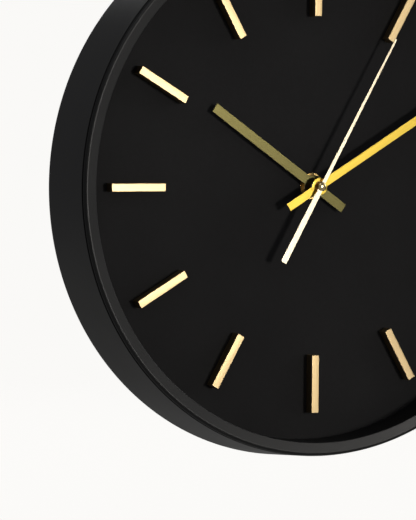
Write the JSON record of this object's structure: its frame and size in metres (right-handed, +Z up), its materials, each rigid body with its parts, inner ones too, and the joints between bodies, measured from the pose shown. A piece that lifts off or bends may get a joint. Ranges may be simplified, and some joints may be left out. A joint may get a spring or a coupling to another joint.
{
  "type": "wall clock",
  "caption": "Round shallow wall clock with an open recessed face, raised bar hour markers, three straight hands and a battery movement behind the dial.",
  "frame": {"origin": "where the axis of the hands meets the wall, in the plane of the rear rim", "axes": "+X to the right of the dial, +Z up, the face looks along -Y and the wall is the plane Y = 0"},
  "size_m": [0.3, 0.0377, 0.3],
  "materials": {
    "case_black": "smooth satin black",
    "dial_black": "matt black paint on aluminium sheet",
    "marker_gold": "brushed gold",
    "hand_gold": "brushed gold",
    "panel_black": "fine grained black",
    "screw_steel": "zinc plated",
    "hanger_steel": "pressed, zinc plated",
    "movement_black": "moulded black",
    "movement_frame": "moulded natural white",
    "gear_plastic": "moulded acetal",
    "gear_brass": "turned",
    "arbor_steel": "polished steel",
    "magnet": "sintered",
    "stator_steel": "laminated",
    "copper_wire": "enamelled copper",
    "board_green": "solder mask",
    "chip_epoxy": "epoxy",
    "gasket_rubber": "matt",
    "contact_nickel": "nickel plated spring steel",
    "cell_sleeve": "printed sleeve, plain"
  },
  "bodies": {
    "case": {"drum_shell": "case_black", "front_bezel": "case_black", "bezel_screws": "screw_steel", "dial": "dial_black", "hour_markers": "marker_gold", "back_panel": "panel_black", "panel_screws": "screw_steel", "hanger_plate": "hanger_steel", "hanger_screws": "screw_steel", "movement_case": "movement_black", "movement_cover": "movement_black", "middle_plate": "movement_frame", "threaded_bush": "gear_brass", "rubber_gasket": "gasket_rubber", "brass_washer": "gear_brass", "brass_nut": "gear_brass", "stator": "stator_steel", "coil_core": "stator_steel", "coil_bobbin": "movement_frame", "coil_winding": "copper_wire", "circuit_board": "board_green", "timing_crystal": "arbor_steel", "driver_chip": "chip_epoxy", "positive_contact": "contact_nickel", "negative_contact": "contact_nickel"},
    "second": {"second_wheel": "gear_plastic", "second_arbor": "arbor_steel", "second_hand": "hand_gold", "second_socket": "gear_brass", "second_cap": "hand_gold"},
    "rotor": {"rotor_pinion": "gear_plastic", "rotor_magnet": "magnet"},
    "fifth": {"fifth_wheel": "gear_plastic"},
    "third": {"third_wheel": "gear_plastic"},
    "centre": {"centre_wheel": "gear_plastic"},
    "minute": {"minute_pipe": "gear_brass", "minute_hand": "hand_gold", "minute_collet": "gear_brass"},
    "setting": {"minute_wheel": "gear_plastic", "set_knob": "movement_frame"},
    "hour": {"hour_wheel": "gear_plastic", "hour_hand": "hand_gold", "hour_collet": "gear_brass"},
    "cell": {"aa_cell": "cell_sleeve"}
  },
  "joints": [
    {"name": "second_hand_turn", "type": "hinge", "parent": "case", "child": "second", "pos_m": [0, 0, 0], "axis": [0, 1, 0], "continuous": true},
    {"name": "fifth_wheel_turn", "type": "hinge", "parent": "case", "child": "fifth", "pos_m": [0.00146, 0, 0.00827], "axis": [0, 1, 0], "continuous": true},
    {"name": "rotor_turn", "type": "hinge", "parent": "case", "child": "rotor", "pos_m": [-0.00465, 0, 0.01438], "axis": [0, 1, 0], "continuous": true},
    {"name": "third_wheel_turn", "type": "hinge", "parent": "case", "child": "third", "pos_m": [-0.00799, 0, 0.00291], "axis": [0, 1, 0], "continuous": true},
    {"name": "centre_wheel_turn", "type": "hinge", "parent": "case", "child": "centre", "pos_m": [0, 0, 0], "axis": [0, 1, 0], "continuous": true},
    {"name": "minute_hand_turn", "type": "hinge", "parent": "case", "child": "minute", "pos_m": [0, 0, 0], "axis": [0, 1, 0], "continuous": true},
    {"name": "set_knob_turn", "type": "hinge", "parent": "case", "child": "setting", "pos_m": [0.00985, 0, 0.00174], "axis": [0, 1, 0], "continuous": true},
    {"name": "hour_hand_turn", "type": "hinge", "parent": "case", "child": "hour", "pos_m": [0, 0, 0], "axis": [0, 1, 0], "continuous": true},
    {"name": "cell_removal", "type": "slide", "parent": "case", "child": "cell", "axis": [0, 1, 0], "range_m": [0, 0.03]}
  ],
  "couplings": [
    {"joint": "fifth_wheel_turn", "follows": "second_hand_turn", "ratio": -6},
    {"joint": "rotor_turn", "follows": "second_hand_turn", "ratio": 30},
    {"joint": "third_wheel_turn", "follows": "second_hand_turn", "ratio": -0.13333},
    {"joint": "centre_wheel_turn", "follows": "second_hand_turn", "ratio": 0.016667},
    {"joint": "set_knob_turn", "follows": "minute_hand_turn", "ratio": -0.33333},
    {"joint": "hour_hand_turn", "follows": "minute_hand_turn", "ratio": 0.083333}
  ]
}
